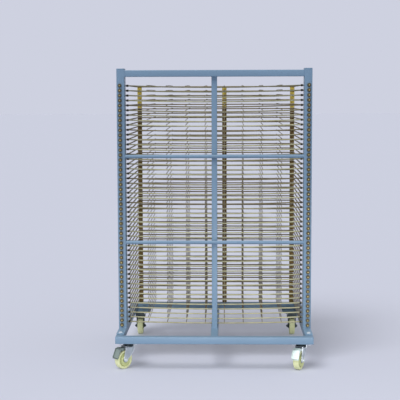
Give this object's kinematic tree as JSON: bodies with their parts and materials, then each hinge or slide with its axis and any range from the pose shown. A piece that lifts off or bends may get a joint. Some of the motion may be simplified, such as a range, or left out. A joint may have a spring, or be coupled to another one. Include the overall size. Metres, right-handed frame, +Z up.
{
  "type": "art drying rack",
  "caption": "Free-standing print drying rack: hinged wire trays stacked between two painted uprights on a wheeled base with braked swivel casters on the hinge side.",
  "frame": {"origin": "on the floor at the middle of the footprint", "axes": "+Z up, +Y from the hinge side to the loading side, +X to the right seen from the hinge side"},
  "size_m": [1.0646, 0.9923, 1.594],
  "materials": {
    "frame_paint": "satin",
    "yellow_zinc": "satin",
    "bright_zinc": "satin",
    "pedal_zinc": "satin",
    "wheel_tread": "matte"
  },
  "bodies": {
    "frame": {"left_post": "frame_paint", "right_post": "frame_paint", "post_caps": "frame_paint", "post_foot_plates": "frame_paint", "foot_plate_bolts": "bright_zinc", "top_rail": "frame_paint", "centre_mullion": "frame_paint", "upper_crossbar": "frame_paint", "lower_crossbar": "frame_paint", "base_near_bar": "frame_paint", "base_far_bar": "frame_paint", "base_side_rails": "frame_paint", "base_centre_rail": "frame_paint", "base_end_caps": "frame_paint", "caster_mounting_plates": "frame_paint", "near_caster_plates": "bright_zinc", "hinge_eyes": "yellow_zinc", "far_caster_forks": "bright_zinc", "far_caster_axles": "bright_zinc", "lower_trays": "yellow_zinc"},
    "tray_body_25": {"tray_25": "yellow_zinc"},
    "tray_body_26": {"tray_26": "yellow_zinc"},
    "tray_body_27": {"tray_27": "yellow_zinc"},
    "tray_body_28": {"tray_28": "yellow_zinc"},
    "tray_body_29": {"tray_29": "yellow_zinc"},
    "tray_body_30": {"tray_30": "yellow_zinc"},
    "tray_body_31": {"tray_31": "yellow_zinc"},
    "tray_body_32": {"tray_32": "yellow_zinc"},
    "tray_body_33": {"tray_33": "yellow_zinc"},
    "tray_body_34": {"tray_34": "yellow_zinc"},
    "tray_body_35": {"tray_35": "yellow_zinc"},
    "tray_body_36": {"tray_36": "yellow_zinc"},
    "tray_body_37": {"tray_37": "yellow_zinc"},
    "tray_body_38": {"tray_38": "yellow_zinc"},
    "tray_body_39": {"tray_39": "yellow_zinc"},
    "tray_body_40": {"tray_40": "yellow_zinc"},
    "tray_body_41": {"tray_41": "yellow_zinc"},
    "tray_body_42": {"tray_42": "yellow_zinc"},
    "tray_body_43": {"tray_43": "yellow_zinc"},
    "tray_body_44": {"tray_44": "yellow_zinc"},
    "tray_body_45": {"tray_45": "yellow_zinc"},
    "tray_body_46": {"tray_46": "yellow_zinc"},
    "tray_body_47": {"tray_47": "yellow_zinc"},
    "tray_body_48": {"tray_48": "yellow_zinc"},
    "tray_body_49": {"tray_49": "yellow_zinc"},
    "tray_body_50": {"tray_50": "yellow_zinc"},
    "left_swivel": {"left_swivel_fork": "bright_zinc", "left_near_axle": "bright_zinc"},
    "left_near_wheel_body": {"left_near_wheel": "wheel_tread"},
    "left_pedal_body": {"left_brake_pedal": "pedal_zinc"},
    "left_far_wheel_body": {"left_far_wheel": "wheel_tread"},
    "right_swivel": {"right_swivel_fork": "bright_zinc", "right_near_axle": "bright_zinc"},
    "right_near_wheel_body": {"right_near_wheel": "wheel_tread"},
    "right_pedal_body": {"right_brake_pedal": "pedal_zinc"},
    "right_far_wheel_body": {"right_far_wheel": "wheel_tread"}
  },
  "joints": [
    {"name": "tray_hinge_25", "type": "hinge", "parent": "frame", "child": "tray_body_25", "pos_m": [0, -0.198, 0.841], "axis": [1, 0, 0], "range_deg": [0, 60]},
    {"name": "tray_hinge_26", "type": "hinge", "parent": "frame", "child": "tray_body_26", "pos_m": [0, -0.198, 0.8675], "axis": [1, 0, 0], "range_deg": [0, 60]},
    {"name": "tray_hinge_27", "type": "hinge", "parent": "frame", "child": "tray_body_27", "pos_m": [0, -0.198, 0.894], "axis": [1, 0, 0], "range_deg": [0, 60]},
    {"name": "tray_hinge_28", "type": "hinge", "parent": "frame", "child": "tray_body_28", "pos_m": [0, -0.198, 0.9205], "axis": [1, 0, 0], "range_deg": [0, 60]},
    {"name": "tray_hinge_29", "type": "hinge", "parent": "frame", "child": "tray_body_29", "pos_m": [0, -0.198, 0.947], "axis": [1, 0, 0], "range_deg": [0, 60]},
    {"name": "tray_hinge_30", "type": "hinge", "parent": "frame", "child": "tray_body_30", "pos_m": [0, -0.198, 0.9735], "axis": [1, 0, 0], "range_deg": [0, 60]},
    {"name": "tray_hinge_31", "type": "hinge", "parent": "frame", "child": "tray_body_31", "pos_m": [0, -0.198, 1], "axis": [1, 0, 0], "range_deg": [0, 60]},
    {"name": "tray_hinge_32", "type": "hinge", "parent": "frame", "child": "tray_body_32", "pos_m": [0, -0.198, 1.0265], "axis": [1, 0, 0], "range_deg": [0, 60]},
    {"name": "tray_hinge_33", "type": "hinge", "parent": "frame", "child": "tray_body_33", "pos_m": [0, -0.198, 1.053], "axis": [1, 0, 0], "range_deg": [0, 60]},
    {"name": "tray_hinge_34", "type": "hinge", "parent": "frame", "child": "tray_body_34", "pos_m": [0, -0.198, 1.0795], "axis": [1, 0, 0], "range_deg": [0, 60]},
    {"name": "tray_hinge_35", "type": "hinge", "parent": "frame", "child": "tray_body_35", "pos_m": [0, -0.198, 1.106], "axis": [1, 0, 0], "range_deg": [0, 60]},
    {"name": "tray_hinge_36", "type": "hinge", "parent": "frame", "child": "tray_body_36", "pos_m": [0, -0.198, 1.1325], "axis": [1, 0, 0], "range_deg": [0, 60]},
    {"name": "tray_hinge_37", "type": "hinge", "parent": "frame", "child": "tray_body_37", "pos_m": [0, -0.198, 1.159], "axis": [1, 0, 0], "range_deg": [0, 60]},
    {"name": "tray_hinge_38", "type": "hinge", "parent": "frame", "child": "tray_body_38", "pos_m": [0, -0.198, 1.1855], "axis": [1, 0, 0], "range_deg": [0, 60]},
    {"name": "tray_hinge_39", "type": "hinge", "parent": "frame", "child": "tray_body_39", "pos_m": [0, -0.198, 1.212], "axis": [1, 0, 0], "range_deg": [0, 60]},
    {"name": "tray_hinge_40", "type": "hinge", "parent": "frame", "child": "tray_body_40", "pos_m": [0, -0.198, 1.2385], "axis": [1, 0, 0], "range_deg": [0, 60]},
    {"name": "tray_hinge_41", "type": "hinge", "parent": "frame", "child": "tray_body_41", "pos_m": [0, -0.198, 1.265], "axis": [1, 0, 0], "range_deg": [0, 60]},
    {"name": "tray_hinge_42", "type": "hinge", "parent": "frame", "child": "tray_body_42", "pos_m": [0, -0.198, 1.2915], "axis": [1, 0, 0], "range_deg": [0, 60]},
    {"name": "tray_hinge_43", "type": "hinge", "parent": "frame", "child": "tray_body_43", "pos_m": [0, -0.198, 1.318], "axis": [1, 0, 0], "range_deg": [0, 60]},
    {"name": "tray_hinge_44", "type": "hinge", "parent": "frame", "child": "tray_body_44", "pos_m": [0, -0.198, 1.3445], "axis": [1, 0, 0], "range_deg": [0, 60]},
    {"name": "tray_hinge_45", "type": "hinge", "parent": "frame", "child": "tray_body_45", "pos_m": [0, -0.198, 1.371], "axis": [1, 0, 0], "range_deg": [0, 60]},
    {"name": "tray_hinge_46", "type": "hinge", "parent": "frame", "child": "tray_body_46", "pos_m": [0, -0.198, 1.3975], "axis": [1, 0, 0], "range_deg": [0, 60]},
    {"name": "tray_hinge_47", "type": "hinge", "parent": "frame", "child": "tray_body_47", "pos_m": [0, -0.198, 1.424], "axis": [1, 0, 0], "range_deg": [0, 60]},
    {"name": "tray_hinge_48", "type": "hinge", "parent": "frame", "child": "tray_body_48", "pos_m": [0, -0.198, 1.4505], "axis": [1, 0, 0], "range_deg": [0, 60]},
    {"name": "tray_hinge_49", "type": "hinge", "parent": "frame", "child": "tray_body_49", "pos_m": [0, -0.198, 1.477], "axis": [1, 0, 0], "range_deg": [0, 60]},
    {"name": "tray_hinge_50", "type": "hinge", "parent": "frame", "child": "tray_body_50", "pos_m": [0, -0.198, 1.5035], "axis": [1, 0, 0], "range_deg": [0, 60]},
    {"name": "left_caster_swivel", "type": "hinge", "parent": "frame", "child": "left_swivel", "pos_m": [-0.462, -0.407, 0.12], "axis": [0, 0, 1], "continuous": true},
    {"name": "left_near_wheel_spin", "type": "hinge", "parent": "left_swivel", "child": "left_near_wheel_body", "pos_m": [-0.48519, -0.43187, 0.05], "axis": [0.7314, -0.682, 0], "continuous": true},
    {"name": "left_brake_pedal_press", "type": "hinge", "parent": "left_swivel", "child": "left_pedal_body", "pos_m": [-0.48246, -0.42894, 0.107], "axis": [0.7314, -0.682, 0], "range_deg": [0, 4]},
    {"name": "left_far_wheel_spin", "type": "hinge", "parent": "frame", "child": "left_far_wheel_body", "pos_m": [-0.462, 0.407, 0.05], "axis": [1, 0, 0], "continuous": true},
    {"name": "right_caster_swivel", "type": "hinge", "parent": "frame", "child": "right_swivel", "pos_m": [0.462, -0.407, 0.12], "axis": [0, 0, 1], "continuous": true},
    {"name": "right_near_wheel_spin", "type": "hinge", "parent": "right_swivel", "child": "right_near_wheel_body", "pos_m": [0.44817, -0.43806, 0.05], "axis": [0.9135, -0.4067, 0], "continuous": true},
    {"name": "right_brake_pedal_press", "type": "hinge", "parent": "right_swivel", "child": "right_pedal_body", "pos_m": [0.4498, -0.43441, 0.107], "axis": [0.9135, -0.4067, 0], "range_deg": [0, 4]},
    {"name": "right_far_wheel_spin", "type": "hinge", "parent": "frame", "child": "right_far_wheel_body", "pos_m": [0.462, 0.407, 0.05], "axis": [1, 0, 0], "continuous": true}
  ],
  "couplings": [
    {"joint": "tray_hinge_26", "follows": "tray_hinge_25", "ratio": 1},
    {"joint": "tray_hinge_27", "follows": "tray_hinge_25", "ratio": 1},
    {"joint": "tray_hinge_28", "follows": "tray_hinge_25", "ratio": 1},
    {"joint": "tray_hinge_29", "follows": "tray_hinge_25", "ratio": 1},
    {"joint": "tray_hinge_30", "follows": "tray_hinge_25", "ratio": 1},
    {"joint": "tray_hinge_31", "follows": "tray_hinge_25", "ratio": 1},
    {"joint": "tray_hinge_32", "follows": "tray_hinge_25", "ratio": 1},
    {"joint": "tray_hinge_33", "follows": "tray_hinge_25", "ratio": 1},
    {"joint": "tray_hinge_34", "follows": "tray_hinge_25", "ratio": 1},
    {"joint": "tray_hinge_35", "follows": "tray_hinge_25", "ratio": 1},
    {"joint": "tray_hinge_36", "follows": "tray_hinge_25", "ratio": 1},
    {"joint": "tray_hinge_37", "follows": "tray_hinge_25", "ratio": 1},
    {"joint": "tray_hinge_38", "follows": "tray_hinge_25", "ratio": 1},
    {"joint": "tray_hinge_39", "follows": "tray_hinge_25", "ratio": 1},
    {"joint": "tray_hinge_40", "follows": "tray_hinge_25", "ratio": 1},
    {"joint": "tray_hinge_41", "follows": "tray_hinge_25", "ratio": 1},
    {"joint": "tray_hinge_42", "follows": "tray_hinge_25", "ratio": 1},
    {"joint": "tray_hinge_43", "follows": "tray_hinge_25", "ratio": 1},
    {"joint": "tray_hinge_44", "follows": "tray_hinge_25", "ratio": 1},
    {"joint": "tray_hinge_45", "follows": "tray_hinge_25", "ratio": 1},
    {"joint": "tray_hinge_46", "follows": "tray_hinge_25", "ratio": 1},
    {"joint": "tray_hinge_47", "follows": "tray_hinge_25", "ratio": 1},
    {"joint": "tray_hinge_48", "follows": "tray_hinge_25", "ratio": 1},
    {"joint": "tray_hinge_49", "follows": "tray_hinge_25", "ratio": 1},
    {"joint": "tray_hinge_50", "follows": "tray_hinge_25", "ratio": 1}
  ]
}
